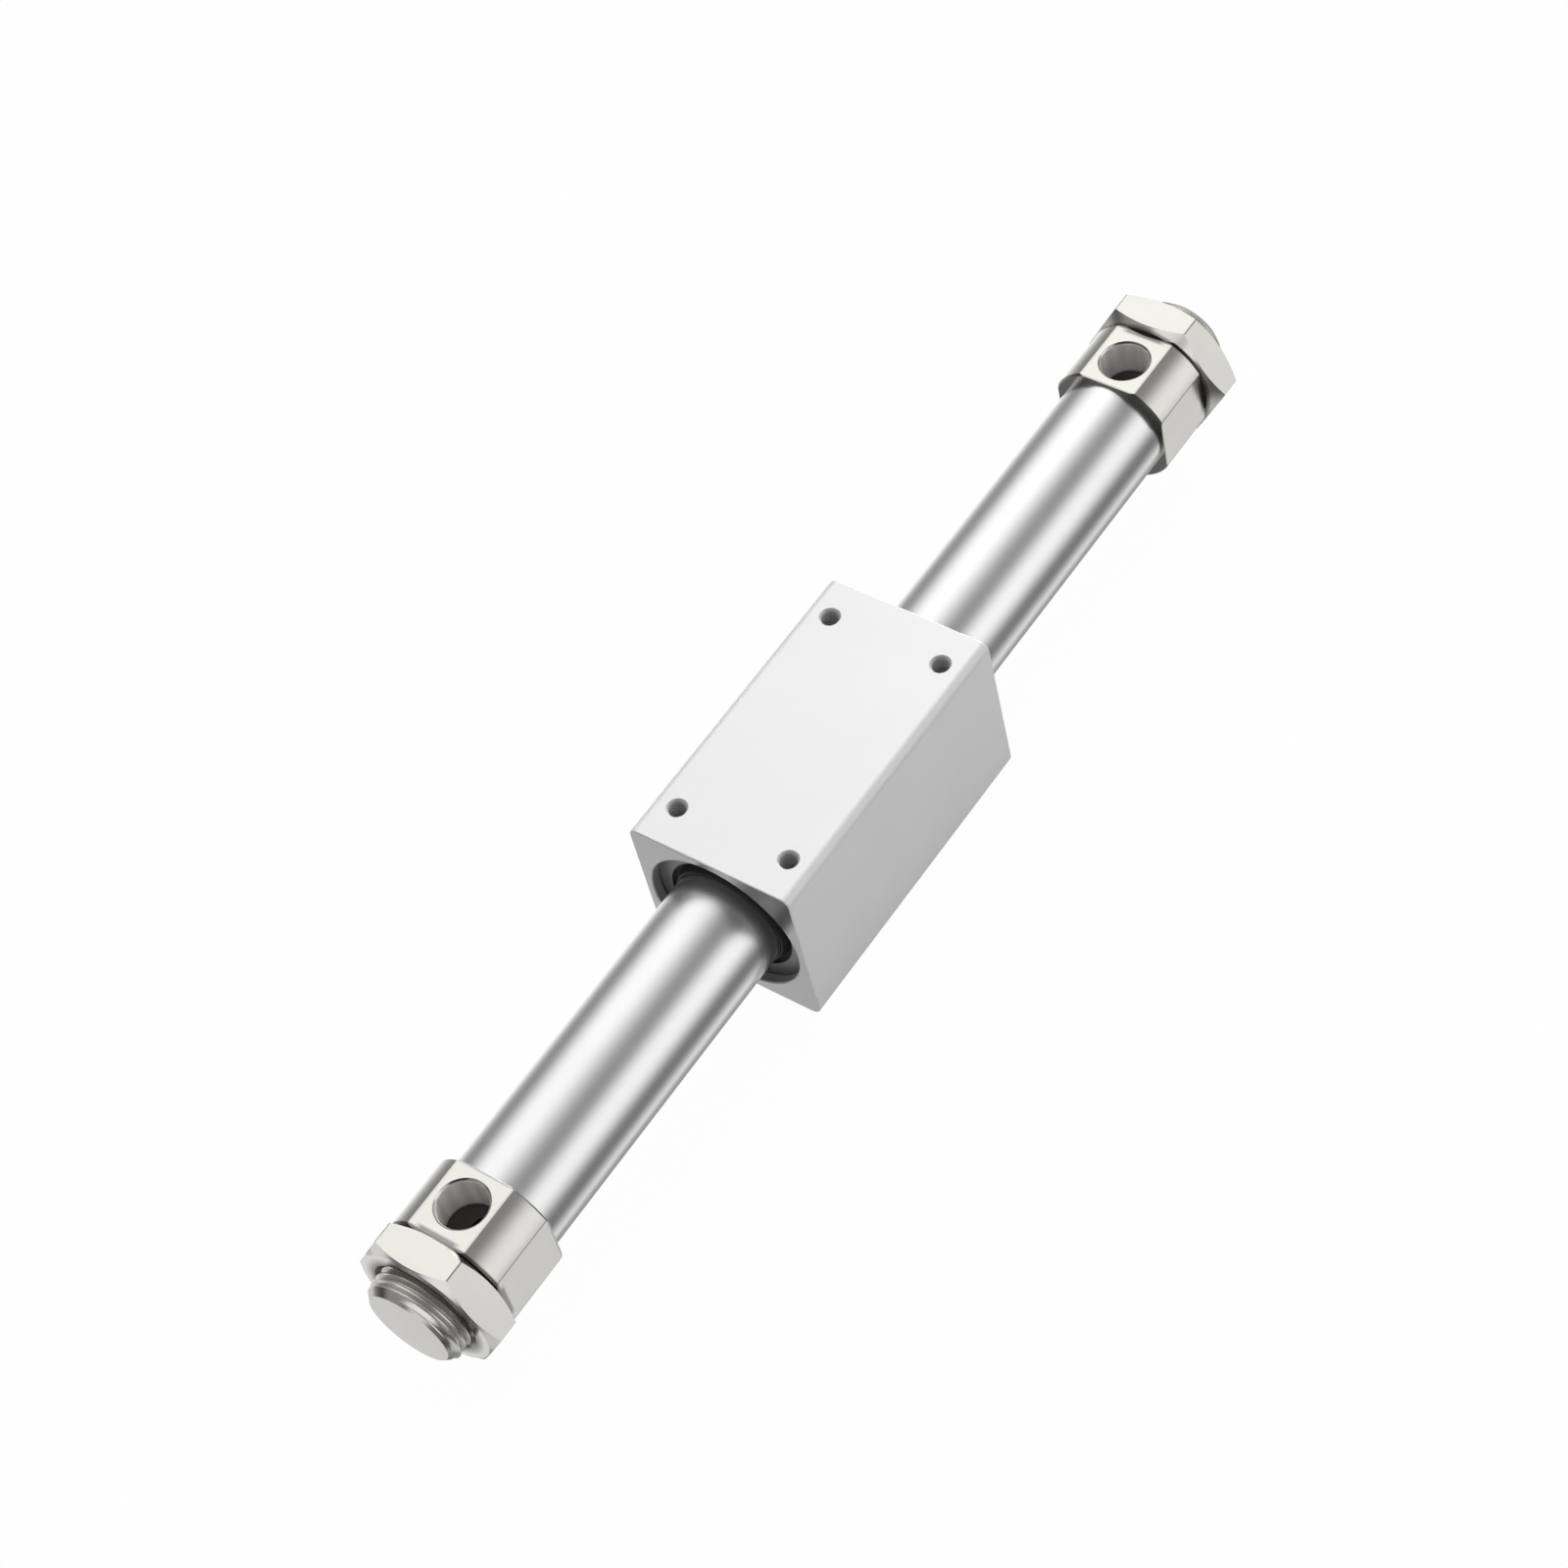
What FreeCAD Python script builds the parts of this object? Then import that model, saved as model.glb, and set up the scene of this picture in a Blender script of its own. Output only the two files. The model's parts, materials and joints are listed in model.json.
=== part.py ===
import FreeCAD, Part
import os

import Sketcher

# Magnetically coupled rodless cylinder: a piston with a magnet stack runs in a sealed tube and
# carries a block with ring magnets along the outside. X runs along the tube, Z comes out of the
# block's face with the threaded holes, and the origin is on the tube's axis at mid-stroke.
# Every piece on the right is drawn at positive X, and its twin on the left is turned half round.

os.makedirs("parts", exist_ok=True)
doc = FreeCAD.newDocument("RodlessCylinder")

Z_AXIS = FreeCAD.Vector(0, 0, 1)
ORIGIN = FreeCAD.Vector(0, 0, 0)
SIDES = (("right", 0), ("left", 180))

# Driving sizes, in millimetres and degrees
SIZES = (
    ("stroke", 125.0, "travel of the piston and the block"),
    ("stop_clearance", 0.1, "piston to bumper at the end of the stroke"),
    ("slip", 0.02, "radial clearance between pieces that are put together once"),
    ("running", 0.04, "radial clearance of the rings that slide on the tube"),
    ("free_gap", 0.4, "radial gap of the pieces that stay clear of the tube"),
    ("tube_bore", 20.0, "inside diameter of the tube"),
    ("tube_wall", 1.4, "wall of the tube"),
    ("tube_seat", 1.0, "depth that the tube enters the cover"),
    ("magnet_count", 4, "magnets in each stack"),
    ("magnet_length", 7.0, "length of one magnet along the tube"),
    ("yoke_length", 2.0, "length of one yoke along the tube"),
    ("outer_stack_width", 3.65, "radial width of the outer magnets and yokes"),
    ("shaft_diameter", 6.0, "rod through the piston stack"),
    ("shaft_margin", 0.2, "end of the rod below the piston's face"),
    ("shaft_chamfer", 0.4, "chamfer at the rod's ends"),
    ("piston_nut_flats", 10.0, "piston nut across flats"),
    ("piston_nut_length", 2.8, "thickness of the piston nut"),
    ("piston_nut_recess", 3.2, "depth of the nut's recess in the piston"),
    ("piston_nut_margin", 0.25, "recess wall to the nut's corners"),
    ("piston_land", 0.8, "walls beside the seal's groove"),
    ("piston_nose", 2.0, "wall at the piston's outer end"),
    ("piston_seal_width", 2.6, "piston seal along the tube"),
    ("piston_seal_depth", 2.0, "groove under the piston seal"),
    ("piston_seal_slope", 0.87, "slope on each side of the piston seal's lip"),
    ("piston_ring_width", 3.2, "piston wear ring along the tube"),
    ("piston_ring_depth", 1.4, "groove under the piston wear ring"),
    ("ring_split", 4.0, "angle of the gap in the wear rings"),
    ("block_wall", 1.03, "wall of the block outside the retaining ring's groove"),
    ("block_edge", 2.0, "round on the block's long edges"),
    ("recess_step", 0.83, "recess in the block's end faces, outside the block's bore"),
    ("recess_depth", 2.1, "depth of that recess"),
    ("retainer_thickness", 1.2, "retaining ring along the tube"),
    ("retainer_play", 0.1, "spare width of the retaining ring's groove"),
    ("retainer_width", 3.6, "radial width of the retaining ring"),
    ("retainer_bite", 1.5, "depth of the ring's groove below the block's bore"),
    ("retainer_lug", 1.9, "radius of the retaining ring's lugs"),
    ("retainer_lug_hole", 1.8, "diameter of the plier holes in the lugs"),
    ("retainer_lug_inset", 1.27, "lug's centre outside the ring's inner edge"),
    ("retainer_gap", 6.0, "gap between the lugs"),
    ("bolt_diameter", 4.0, "threaded holes on the block's top, nominal"),
    ("bolt_mouth", 4.3, "countersink of those holes"),
    ("bolt_depth", 6.0, "depth of those holes"),
    ("bolt_pitch_long", 50.0, "hole pitch along the tube"),
    ("bolt_pitch_wide", 25.0, "hole pitch across the block"),
    ("carrier_land", 0.75, "walls between the grooves of the ring carrier"),
    ("scraper_width", 3.0, "seat of the scraper along the tube"),
    ("scraper_depth", 2.4, "seat of the scraper below the carrier's bore"),
    ("scraper_lip_length", 2.1, "lip that stands out of the seat"),
    ("scraper_lip_width", 1.1, "thickness of the lip at its root"),
    ("scraper_lip_edge", 0.35, "thickness of the lip at its tip"),
    ("felt_width", 2.0, "lubricant retainer along the tube"),
    ("felt_depth", 1.7, "groove of the lubricant retainer"),
    ("wear_ring_width", 3.35, "slider wear ring along the tube"),
    ("wear_ring_depth", 1.2, "groove of the slider wear ring"),
    ("cover_length", 15.0, "cover between its tube face and its shoulder"),
    ("cover_corner", 2.13, "cover outside the tube's seat, at its round corners"),
    ("cover_flat", 0.58, "cover outside the tube's seat, at its flats"),
    ("cover_edge", 0.4, "chamfer on the cover's two rims"),
    ("nose_diameter", 20.0, "threaded nose, nominal"),
    ("nose_length", 12.25, "threaded nose"),
    ("nose_chamfer", 1.5, "chamfer at the nose's end"),
    ("spigot_length", 9.0, "spigot of the cover inside the tube"),
    ("bumper_length", 2.0, "thickness of the bumper"),
    ("bumper_margin", 0.8, "bumper's rim below the tube's wall"),
    ("bumper_boss", 8.0, "boss that carries the bumper"),
    ("bumper_grip", 1.2, "length of that boss"),
    ("air_diameter", 5.0, "air bore along the spigot"),
    ("port_diameter", 9.73, "port thread, major diameter"),
    ("port_mouth", 10.7, "countersink of the port"),
    ("port_depth", 8.5, "depth of the port thread"),
    ("port_place", 7.0, "port from the cover's tube face"),
    ("gasket_cord", 1.36, "cord of the tube gasket"),
    ("gasket_width", 1.8, "groove of the tube gasket"),
    ("gasket_place", 6.0, "gasket from the cover's tube face"),
    ("lock_wire", 1.2, "wire of the tube lock ring"),
    ("lock_place", 2.0, "lock ring from the cover's tube face"),
    ("lock_split", 30.0, "angle of the gap in the lock ring"),
    ("nut_flats", 27.7, "mounting nut across flats"),
    ("nut_length", 7.4, "thickness of the mounting nut"),
    ("nut_chamfer_angle", 30.0, "chamfer of the nut's corners"),
    ("nut_face", 25.6, "round face left by that chamfer, against the cover"),
    ("nut_outer_face", 27.4, "round face left by that chamfer, at the outer end"),
    ("nut_mouth", 0.9, "chamfer at the ends of the nut's bore"),
)


# Spreadsheet and the lengths that follow from it

sheet = doc.addObject("Spreadsheet::Sheet", "Sizes")
for row, (alias, value, note) in enumerate(SIZES, start=1):
    sheet.set(f"A{row}", note)
    sheet.set(f"B{row}", str(value))
    sheet.setAlias(f"B{row}", alias)
doc.recompute()
S = {alias: f"Sizes.{alias}" for alias, value, note in SIZES}

tube_inside = f"({S['tube_bore']} / 2)"
tube_outside = f"({tube_inside} + {S['tube_wall']})"
stack_half = (
    f"(({S['magnet_count']} * {S['magnet_length']}"
    f" + ({S['magnet_count']} + 1) * {S['yoke_length']}) / 2)"
)

# Outer stack, ring carrier and block, from the tube outwards
carrier_bore = f"({tube_outside} + {S['free_gap']})"
stack_outside = f"({carrier_bore} + {S['outer_stack_width']})"
block_bore = f"({stack_outside} + {S['slip']})"
retainer_groove = f"({block_bore} + {S['retainer_bite']})"
block_side = f"({retainer_groove} + {S['block_wall']})"
wear_ring_start = f"({stack_half} + {S['carrier_land']})"
felt_start = f"({wear_ring_start} + {S['wear_ring_width']} + {S['carrier_land']})"
scraper_start = f"({felt_start} + {S['felt_width']} + {S['carrier_land']})"
carrier_end = f"({scraper_start} + {S['scraper_width']})"
retainer_end = f"({carrier_end} + {S['retainer_thickness']})"
groove_end = f"({retainer_end} + {S['retainer_play']})"
block_half = f"({groove_end} + {S['recess_depth']})"

# Piston, outwards from the inner stack
seal_start = f"({stack_half} + {S['piston_land']})"
piston_ring_start = f"({seal_start} + {S['piston_seal_width']} + {S['piston_land']})"
piston_ring_end = f"({piston_ring_start} + {S['piston_ring_width']})"
piston_end = f"({piston_ring_end} + {S['piston_nose']})"
nut_seat = f"({piston_end} - {S['piston_nut_recess']})"
piston_outside = f"({tube_inside} - {S['free_gap']})"
shaft_outside = f"({S['shaft_diameter']} / 2)"

# Cover, from the end of the stroke outwards
bumper_start = f"({piston_end} + {S['stroke']} / 2 + {S['stop_clearance']})"
spigot_start = f"({bumper_start} + {S['bumper_length']})"
cover_face = f"({spigot_start} + {S['spigot_length']})"
tube_end = f"({cover_face} + {S['tube_seat']})"
cover_shoulder = f"({cover_face} + {S['cover_length']})"
nose_end = f"({cover_shoulder} + {S['nose_length']})"
spigot_outside = f"({tube_inside} - {S['slip']})"
cover_seat = f"({tube_outside} + {S['slip']})"
cover_rim = f"({cover_seat} + {S['cover_corner']})"
cover_side = f"({cover_seat} + {S['cover_flat']})"
port_centre = f"({cover_face} + {S['port_place']})"
gasket_centre = f"({cover_face} - {S['gasket_place']})"
lock_centre = f"({cover_face} - {S['lock_place']})"
lock_groove_half = f"({S['lock_wire']} / 2 + {S['slip']})"


# Building blocks

def new_body(label, turn=0):
    """An empty body, turned about Z for the pieces on the left."""
    body = doc.addObject("PartDesign::Body", label)
    body.Label = label
    body.Placement = FreeCAD.Placement(ORIGIN, FreeCAD.Rotation(Z_AXIS, turn))
    return body


def plane_of(body, role):
    """One of the body's own origin planes."""
    return next(f for f in body.Origin.OriginFeatures if f.Role == role)


def new_sketch(body, name, role="XZ_Plane", offset=None):
    """A sketch on one of the body's planes, moved off it along its normal if an offset is given."""
    sketch = body.newObject("Sketcher::SketchObject", name)
    sketch.AttachmentSupport = [(plane_of(body, role), "")]
    sketch.MapMode = "FlatFace"
    if offset:
        sketch.setExpression(".AttachmentOffset.Base.z", offset)
    return sketch


def value_of(expression):
    """The number that an expression has now, for the first placing of sketch geometry."""
    return float(sheet.evalExpression(expression))


def place_point(sketch, geometry, point, across, up):
    """Holds a point of the sketch at two distances from the sketch's origin."""
    for kind, expression in (("DistanceX", across), ("DistanceY", up)):
        number = sketch.addConstraint(
            Sketcher.Constraint(kind, -1, 1, geometry, point, value_of(expression))
        )
        sketch.setExpression(f"Constraints[{number}]", expression)


def add_outline(sketch, corners):
    """A closed outline of straight lines through corners, each a pair of expressions."""
    places = [FreeCAD.Vector(value_of(x), value_of(y), 0) for x, y in corners]
    first = sketch.GeometryCount
    count = len(corners)
    for i in range(count):
        sketch.addGeometry(Part.LineSegment(places[i], places[(i + 1) % count]), False)
    for i in range(count):
        following = first + (i + 1) % count
        sketch.addConstraint(Sketcher.Constraint("Coincident", first + i, 2, following, 1))
        place_point(sketch, first + i, 1, *corners[i])


def add_rectangle(sketch, left, right, low, high):
    add_outline(sketch, ((left, low), (right, low), (right, high), (left, high)))


def add_circle(sketch, across, up, radius):
    """A circle whose centre and radius are expressions."""
    centre = FreeCAD.Vector(value_of(across), value_of(up), 0)
    circle = sketch.addGeometry(Part.Circle(centre, Z_AXIS, value_of(radius)), False)
    place_point(sketch, circle, 3, across, up)
    number = sketch.addConstraint(Sketcher.Constraint("Radius", circle, value_of(radius)))
    sketch.setExpression(f"Constraints[{number}]", radius)


def turn_profile(body, kind, name, outlines, angle="360"):
    """Turns outlines about the tube's axis, as solid or as a cut. Each corner is (along X, radius)."""
    sketch = new_sketch(body, name + "Profile")
    for corners in outlines:
        add_outline(sketch, corners)
    feature = body.newObject("PartDesign::" + kind, name)
    feature.Profile = (sketch, [""])
    feature.ReferenceAxis = (sketch, ["H_Axis"])
    feature.Midplane = True
    feature.setExpression("Angle", angle)
    return feature


def turned(label, corners, turn=0, angle="360"):
    """A piece that is one turned profile. With an angle under 360 it is split at the bottom."""
    body = new_body(label, turn)
    turn_profile(body, "Revolution", "Turning", (corners,), angle)
    return body


def ring(label, start, end, inside, outside, turn=0, angle="360"):
    """A plain ring between two places along X and two radii."""
    corners = ((start, inside), (end, inside), (end, outside), (start, outside))
    return turned(label, corners, turn, angle)


def padded(body, name, sketch, length, midplane=False):
    pad = body.newObject("PartDesign::Pad", name)
    pad.Profile = (sketch, [""])
    pad.Midplane = midplane
    pad.setExpression("Length", length)
    return pad


def pocketed(body, name, sketch, length):
    """A cut from the sketch against its plane's normal."""
    pocket = body.newObject("PartDesign::Pocket", name)
    pocket.Profile = (sketch, [""])
    pocket.setExpression("Length", length)
    return pocket


def drilled(body, name, sketch, diameter, mouth, depth):
    """Blind holes with a drill point and a countersunk mouth, against the sketch's normal."""
    doc.recompute()
    hole = body.newObject("PartDesign::Hole", name)
    hole.Profile = (sketch, [""])
    hole.Threaded = False
    hole.HoleCutType = "Countersink"
    hole.DepthType = "Dimension"
    hole.DrillPoint = "Angled"
    hole.setExpression("Diameter", diameter)
    hole.setExpression("Depth", depth)
    hole.setExpression("HoleCutDiameter", mouth)
    hole.HoleCutCountersinkAngle = 90
    return hole


# Tube and its seals and locks

def make_tube():
    lock_groove = f"({tube_inside} + {S['lock_wire']} / 2 + {S['slip']})"
    lock_near = f"({lock_centre} - {lock_groove_half})"
    lock_far = f"({lock_centre} + {lock_groove_half})"
    turned(
        "cylinder_tube",
        (
            (f"-{tube_end}", tube_inside),
            (f"-{lock_far}", tube_inside),
            (f"-{lock_far}", lock_groove),
            (f"-{lock_near}", lock_groove),
            (f"-{lock_near}", tube_inside),
            (lock_near, tube_inside),
            (lock_near, lock_groove),
            (lock_far, lock_groove),
            (lock_far, tube_inside),
            (tube_end, tube_inside),
            (tube_end, tube_outside),
            (f"-{tube_end}", tube_outside),
        ),
    )


def make_round_ring(label, turn, centre, radius, cord, angle="360"):
    """A ring of round section: its cord's centre lies at centre along X, at radius."""
    body = new_body(label, turn)
    sketch = new_sketch(body, "Section")
    add_circle(sketch, centre, radius, f"{cord} / 2")
    feature = body.newObject("PartDesign::Revolution", "Turning")
    feature.Profile = (sketch, [""])
    feature.ReferenceAxis = (sketch, ["H_Axis"])
    feature.Midplane = True
    feature.setExpression("Angle", angle)


# End cover, bumper and mounting nut

def make_end_cover(side, turn):
    body = new_body("end_cover_" + side, turn)
    air = f"({S['air_diameter']} / 2)"
    boss = f"({S['bumper_boss']} / 2)"
    boss_end = f"({spigot_start} - {S['bumper_grip']})"
    gasket_near = f"({gasket_centre} - {S['gasket_width']} / 2)"
    gasket_far = f"({gasket_centre} + {S['gasket_width']} / 2)"
    gasket_floor = f"({spigot_outside} - {S['gasket_cord']} - {S['slip']})"
    lock_near = f"({lock_centre} - {lock_groove_half})"
    lock_far = f"({lock_centre} + {lock_groove_half})"
    lock_floor = f"({tube_inside} - {S['lock_wire']} / 2 - {S['slip']})"
    nose = f"({S['nose_diameter']} / 2)"
    air_end = f"({port_centre} + {air})"
    turn_profile(
        body,
        "Revolution",
        "Turning",
        (
            (
                (boss_end, air),
                (boss_end, boss),
                (spigot_start, boss),
                (spigot_start, spigot_outside),
                (gasket_near, spigot_outside),
                (gasket_near, gasket_floor),
                (gasket_far, gasket_floor),
                (gasket_far, spigot_outside),
                (lock_near, spigot_outside),
                (lock_near, lock_floor),
                (lock_far, lock_floor),
                (lock_far, spigot_outside),
                (tube_end, spigot_outside),
                (tube_end, cover_seat),
                (cover_face, cover_seat),
                (cover_face, f"({cover_rim} - {S['cover_edge']})"),
                (f"({cover_face} + {S['cover_edge']})", cover_rim),
                (f"({cover_shoulder} - {S['cover_edge']})", cover_rim),
                (cover_shoulder, f"({cover_rim} - {S['cover_edge']})"),
                (cover_shoulder, nose),
                (f"({nose_end} - {S['nose_chamfer']})", nose),
                (nose_end, f"({nose} - {S['nose_chamfer']})"),
                (nose_end, "0"),
                (air_end, "0"),
                (air_end, air),
            ),
        ),
    )
    # Four flats, cut as the border between two squares
    flats = new_sketch(body, "Flats", "YZ_Plane", cover_shoulder)
    for half in (f"(2 * {cover_rim})", cover_side):
        add_rectangle(flats, f"-{half}", half, f"-{half}", half)
    pocketed(body, "FlatCut", flats, S["cover_length"])
    # Threaded port on the top flat, whose drill point breaks into the air bore
    port = new_sketch(body, "Port", "XY_Plane", cover_side)
    add_circle(port, port_centre, "0", f"{S['port_diameter']} / 2")
    drilled(body, "PortHole", port, S["port_diameter"], S["port_mouth"], S["port_depth"])


def make_mounting_nut(side, turn):
    body = new_body("mounting_nut_" + side, turn)
    start, end = cover_shoulder, f"({cover_shoulder} + {S['nut_length']})"
    corner = f"({S['nut_flats']} / sqrt(3))"
    hexagon = new_sketch(body, "Hexagon", "YZ_Plane", start)
    points = [(f"{corner} * cos({60 * k} deg)", f"{corner} * sin({60 * k} deg)") for k in range(6)]
    add_outline(hexagon, points)
    padded(body, "Blank", hexagon, S["nut_length"])
    # Both faces are chamfered round, so that the corners fall away at the chamfer's angle
    face = f"({S['nut_face']} / 2)"
    outer_face = f"({S['nut_outer_face']} / 2)"
    beyond = S["nut_flats"]
    slope = f"tan({S['nut_chamfer_angle']} * 1 deg)"
    fall = f"(({beyond} - {face}) * {slope})"
    outer_fall = f"(({beyond} - {outer_face}) * {slope})"
    turn_profile(
        body,
        "Groove",
        "Chamfers",
        (
            ((start, face), (start, beyond), (f"({start} + {fall})", beyond)),
            ((end, outer_face), (f"({end} - {outer_fall})", beyond), (end, beyond)),
        ),
    )
    bore = f"({S['nose_diameter']} / 2 + {S['slip']})"
    mouth = f"({bore} + {S['nut_mouth']})"
    turn_profile(
        body,
        "Groove",
        "Bore",
        (
            (
                (start, "0"),
                (end, "0"),
                (end, mouth),
                (f"({end} - {S['nut_mouth']})", bore),
                (f"({start} + {S['nut_mouth']})", bore),
                (start, mouth),
            ),
        ),
    )


def make_bumper(side, turn):
    ring(
        "bumper_" + side,
        bumper_start,
        spigot_start,
        f"({S['bumper_boss']} / 2 + {S['slip']})",
        f"({tube_inside} - {S['bumper_margin']})",
        turn,
    )


# Magnet stacks

def make_stack(kind, inside, outside):
    """Magnets with a yoke at each end and between them, numbered along X."""
    pitch = f"({S['magnet_length']} + {S['yoke_length']})"
    count = int(value_of(S["magnet_count"]))
    for number in range(count + 1):
        start = f"({number} * {pitch} - {stack_half})"
        end = f"({start} + {S['yoke_length']})"
        ring(f"{kind}_yoke_{number + 1}", start, end, inside, outside)
    for number in range(count):
        start = f"({number} * {pitch} + {S['yoke_length']} - {stack_half})"
        end = f"({start} + {S['magnet_length']})"
        ring(f"{kind}_magnet_{number + 1}", start, end, inside, outside)


# Piston

def make_piston(side, turn):
    bore = f"({shaft_outside} + {S['slip']})"
    seal_end = f"({seal_start} + {S['piston_seal_width']})"
    seal_floor = f"({piston_outside} - {S['piston_seal_depth']})"
    ring_floor = f"({piston_outside} - {S['piston_ring_depth']})"
    recess = f"({S['piston_nut_flats']} / sqrt(3) + {S['piston_nut_margin']})"
    turned(
        "piston_" + side,
        (
            (stack_half, bore),
            (stack_half, piston_outside),
            (seal_start, piston_outside),
            (seal_start, seal_floor),
            (seal_end, seal_floor),
            (seal_end, piston_outside),
            (piston_ring_start, piston_outside),
            (piston_ring_start, ring_floor),
            (piston_ring_end, ring_floor),
            (piston_ring_end, piston_outside),
            (piston_end, piston_outside),
            (piston_end, recess),
            (nut_seat, recess),
            (nut_seat, bore),
        ),
        turn,
    )
    ring(
        "piston_wear_ring_" + side,
        f"({piston_ring_start} + {S['slip']})",
        f"({piston_ring_end} - {S['slip']})",
        f"({ring_floor} + {S['slip']})",
        f"({tube_inside} - {S['running']})",
        turn,
        f"360 - {S['ring_split']}",
    )
    # Seal with a narrow lip in the middle of a plain base
    near, far = f"({seal_start} + {S['slip']})", f"({seal_end} - {S['slip']})"
    base, tip = f"({seal_floor} + {S['slip']})", f"({tube_inside} - {S['running']})"
    slope = S["piston_seal_slope"]
    turned(
        "piston_seal_" + side,
        (
            (near, base),
            (near, piston_outside),
            (f"({near} + {slope})", tip),
            (f"({far} - {slope})", tip),
            (far, piston_outside),
            (far, base),
        ),
        turn,
    )


def make_piston_nut(side, turn):
    body = new_body("piston_nut_" + side, turn)
    hexagon = new_sketch(body, "Hexagon", "YZ_Plane", nut_seat)
    corner = f"({S['piston_nut_flats']} / sqrt(3))"
    points = [(f"{corner} * cos({60 * k} deg)", f"{corner} * sin({60 * k} deg)") for k in range(6)]
    add_outline(hexagon, points)
    add_circle(hexagon, "0", "0", f"({shaft_outside} + {S['slip']})")
    padded(body, "Blank", hexagon, S["piston_nut_length"])


def make_shaft():
    end = f"({piston_end} - {S['shaft_margin']})"
    edge = S["shaft_chamfer"]
    turned(
        "piston_shaft",
        (
            (f"-{end}", "0"),
            (end, "0"),
            (end, f"({shaft_outside} - {edge})"),
            (f"({end} - {edge})", shaft_outside),
            (f"-({end} - {edge})", shaft_outside),
            (f"-{end}", f"({shaft_outside} - {edge})"),
        ),
    )


# Block and the rings in its ends

def make_block():
    body = new_body("slider_block")
    section = new_sketch(body, "Section", "YZ_Plane")
    add_rectangle(section, f"-{block_side}", block_side, f"-{block_side}", block_side)
    bar = padded(body, "Bar", section, f"2 * {block_half}", midplane=True)
    doc.recompute()
    # The four long edges are rounded and the end edges stay sharp
    long_edges = [
        f"Edge{i}"
        for i, edge in enumerate(bar.Shape.Edges, start=1)
        if abs(edge.tangentAt(edge.FirstParameter).x) > 0.5
    ]
    rounds = body.newObject("PartDesign::Fillet", "LongEdges")
    rounds.Base = (bar, long_edges)
    rounds.setExpression("Radius", S["block_edge"])
    # Bore through the block, with the ring grooves and the recesses at both ends
    recess = f"({block_bore} + {S['recess_step']})"
    steps = (
        (carrier_end, block_bore),
        (carrier_end, retainer_groove),
        (groove_end, retainer_groove),
        (groove_end, recess),
        (block_half, recess),
        (block_half, "0"),
    )
    mirrored = [(f"-{x}", r) for x, r in reversed(steps)]
    turn_profile(body, "Groove", "Bore", (tuple(mirrored) + steps,))
    bolts = new_sketch(body, "BoltHoles", "XY_Plane", block_side)
    long, wide = f"({S['bolt_pitch_long']} / 2)", f"({S['bolt_pitch_wide']} / 2)"
    for across in (f"-{long}", long):
        for up in (f"-{wide}", wide):
            add_circle(bolts, across, up, f"{S['bolt_diameter']} / 2")
    drilled(body, "Bolts", bolts, S["bolt_diameter"], S["bolt_mouth"], S["bolt_depth"])


def make_carrier_set(side, turn):
    """The collar in one end of the block, with its wear ring, lubricant retainer and scraper."""
    wear_end = f"({wear_ring_start} + {S['wear_ring_width']})"
    wear_floor = f"({carrier_bore} + {S['wear_ring_depth']})"
    felt_end = f"({felt_start} + {S['felt_width']})"
    felt_floor = f"({carrier_bore} + {S['felt_depth']})"
    scraper_floor = f"({carrier_bore} + {S['scraper_depth']})"
    contact = f"({tube_outside} + {S['running']})"
    turned(
        "ring_carrier_" + side,
        (
            (stack_half, carrier_bore),
            (wear_ring_start, carrier_bore),
            (wear_ring_start, wear_floor),
            (wear_end, wear_floor),
            (wear_end, carrier_bore),
            (felt_start, carrier_bore),
            (felt_start, felt_floor),
            (felt_end, felt_floor),
            (felt_end, carrier_bore),
            (scraper_start, carrier_bore),
            (scraper_start, scraper_floor),
            (carrier_end, scraper_floor),
            (carrier_end, stack_outside),
            (stack_half, stack_outside),
        ),
        turn,
    )
    ring(
        "slider_wear_ring_" + side,
        f"({wear_ring_start} + {S['slip']})",
        f"({wear_end} - {S['slip']})",
        contact,
        f"({wear_floor} - {S['slip']})",
        turn,
        f"360 - {S['ring_split']}",
    )
    ring(
        "lube_retainer_" + side,
        f"({felt_start} + {S['slip']})",
        f"({felt_end} - {S['slip']})",
        contact,
        f"({felt_floor} - {S['slip']})",
        turn,
    )
    # The scraper touches the tube at the tip of its lip only
    lip_end = f"({carrier_end} + {S['scraper_lip_length']})"
    turned(
        "scraper_" + side,
        (
            (scraper_start, carrier_bore),
            (lip_end, contact),
            (lip_end, f"({contact} + {S['scraper_lip_edge']})"),
            (carrier_end, f"({contact} + {S['scraper_lip_width']})"),
            (carrier_end, f"({scraper_floor} - {S['slip']})"),
            (scraper_start, f"({scraper_floor} - {S['slip']})"),
        ),
        turn,
    )


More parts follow.
